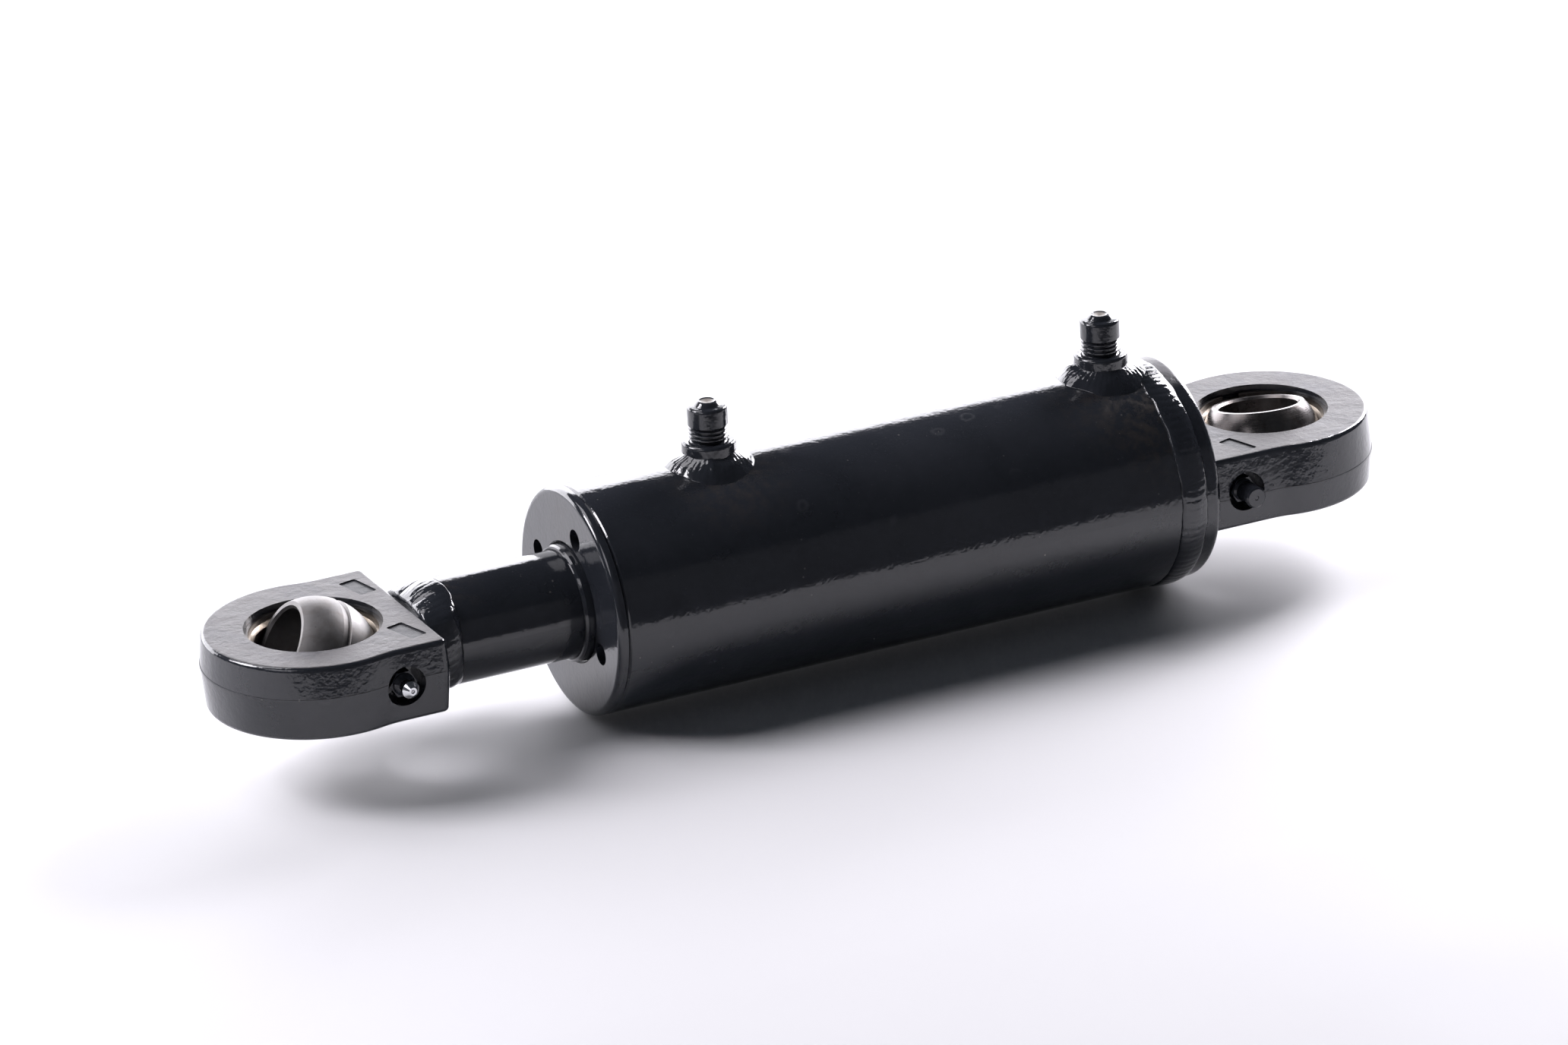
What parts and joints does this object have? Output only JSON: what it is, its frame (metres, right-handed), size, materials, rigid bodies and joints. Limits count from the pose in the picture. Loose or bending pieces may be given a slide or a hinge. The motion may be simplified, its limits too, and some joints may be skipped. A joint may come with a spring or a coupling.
{
  "type": "hydraulic cylinder",
  "caption": "Short double-acting hydraulic cylinder with a welded round barrel, screwed gland, plugged oil ports and a greased spherical bearing in the eye at each end.",
  "frame": {"origin": "centre of the pin bore in the base eye", "axes": "+X along the cylinder from the base eye to the rod eye, +Z along the eye bores and out of the oil ports, +Y the side of the grease nipples"},
  "size_m": [0.4697, 0.0903, 0.1097],
  "materials": {
    "barrel_paint": "gloss dark blue-grey enamel",
    "end_paint": "gloss dark blue-grey enamel over forged steel",
    "gland_paint": "gloss dark blue-grey enamel over turned steel",
    "rod_paint": "gloss dark blue-grey enamel over hard chrome",
    "weld_paint": "gloss enamel over a rough weld bead",
    "port_paint": "gloss enamel over turned steel",
    "plug_plastic": "overpainted plastic",
    "bearing_steel": "satin ground bearing steel",
    "race_steel": "oiled bearing steel",
    "snap_steel": "phosphated spring steel",
    "zinc": "bright zinc plate",
    "ball_steel": "polished steel",
    "cap_plastic": "overpainted plastic",
    "seal_pu": "matt polyurethane",
    "seal_nbr": "matt nitrile",
    "guide_resin": "fabric-reinforced resin",
    "backup_ptfe": "white fluoropolymer",
    "piston_iron": "turned iron",
    "nut_steel": "black-oxide steel"
  },
  "bodies": {
    "barrel": {"barrel_tube": "barrel_paint", "base_end_eye": "end_paint", "end_cap_weld": "weld_paint", "head_gland": "gland_paint", "head_port_boss": "port_paint", "base_port_boss": "port_paint", "head_port_weld": "weld_paint", "base_port_weld": "weld_paint", "wiper_seal": "seal_pu", "rod_seal": "seal_pu", "rod_guide_ring_inner": "guide_resin", "rod_guide_ring_outer": "guide_resin", "gland_o_ring": "seal_nbr", "gland_backup_ring": "backup_ptfe", "base_bearing_outer_ring": "race_steel", "base_snap_rings": "snap_steel", "base_grease_nipple": "zinc"},
    "rod": {"piston_rod": "rod_paint", "rod_eye": "end_paint", "rod_eye_weld": "weld_paint", "piston": "piston_iron", "piston_seal": "seal_pu", "piston_guide_rings": "guide_resin", "piston_o_ring": "seal_nbr", "piston_nut": "nut_steel", "rod_bearing_outer_ring": "race_steel", "rod_snap_rings": "snap_steel", "rod_grease_nipple": "zinc"},
    "rod_ball": {"rod_bearing_inner_ring": "bearing_steel"},
    "base_ball": {"base_bearing_inner_ring": "bearing_steel"},
    "head_plug": {"head_port_plug": "plug_plastic"},
    "base_plug": {"base_port_plug": "plug_plastic"},
    "nipple_cap": {"base_nipple_cap": "cap_plastic"},
    "rod_check_ball": {"rod_nipple_check_ball": "ball_steel"},
    "base_check_ball": {"base_nipple_check_ball": "ball_steel"}
  },
  "joints": [
    {"name": "rod_slide", "type": "slide", "parent": "barrel", "child": "rod", "axis": [1, 0, 0], "range_m": [0, 0.115]},
    {"name": "rod_ball_turn", "type": "hinge", "parent": "rod", "child": "rod_ball", "pos_m": [0.387, 0, 0], "axis": [0.1134, 0.9935, 0], "continuous": true},
    {"name": "base_ball_turn", "type": "hinge", "parent": "barrel", "child": "base_ball", "pos_m": [0, 0, 0], "axis": [0.9944, -0.1055, 0], "continuous": true},
    {"name": "head_plug_out", "type": "slide", "parent": "barrel", "child": "head_plug", "axis": [0, 0, 1], "range_m": [0, 0.035]},
    {"name": "base_plug_out", "type": "slide", "parent": "barrel", "child": "base_plug", "axis": [0, 0, 1], "range_m": [0, 0.035]},
    {"name": "nipple_cap_off", "type": "slide", "parent": "barrel", "child": "nipple_cap", "axis": [0, 1, 0], "range_m": [0, 0.02]},
    {"name": "rod_check_lift", "type": "slide", "parent": "rod", "child": "rod_check_ball", "axis": [0, -1, 0], "range_m": [0, 0.0006], "stiffness_N_per_m": 200, "springref_m": -0.002},
    {"name": "base_check_lift", "type": "slide", "parent": "barrel", "child": "base_check_ball", "axis": [0, -1, 0], "range_m": [0, 0.0006], "stiffness_N_per_m": 200, "springref_m": -0.002}
  ]
}
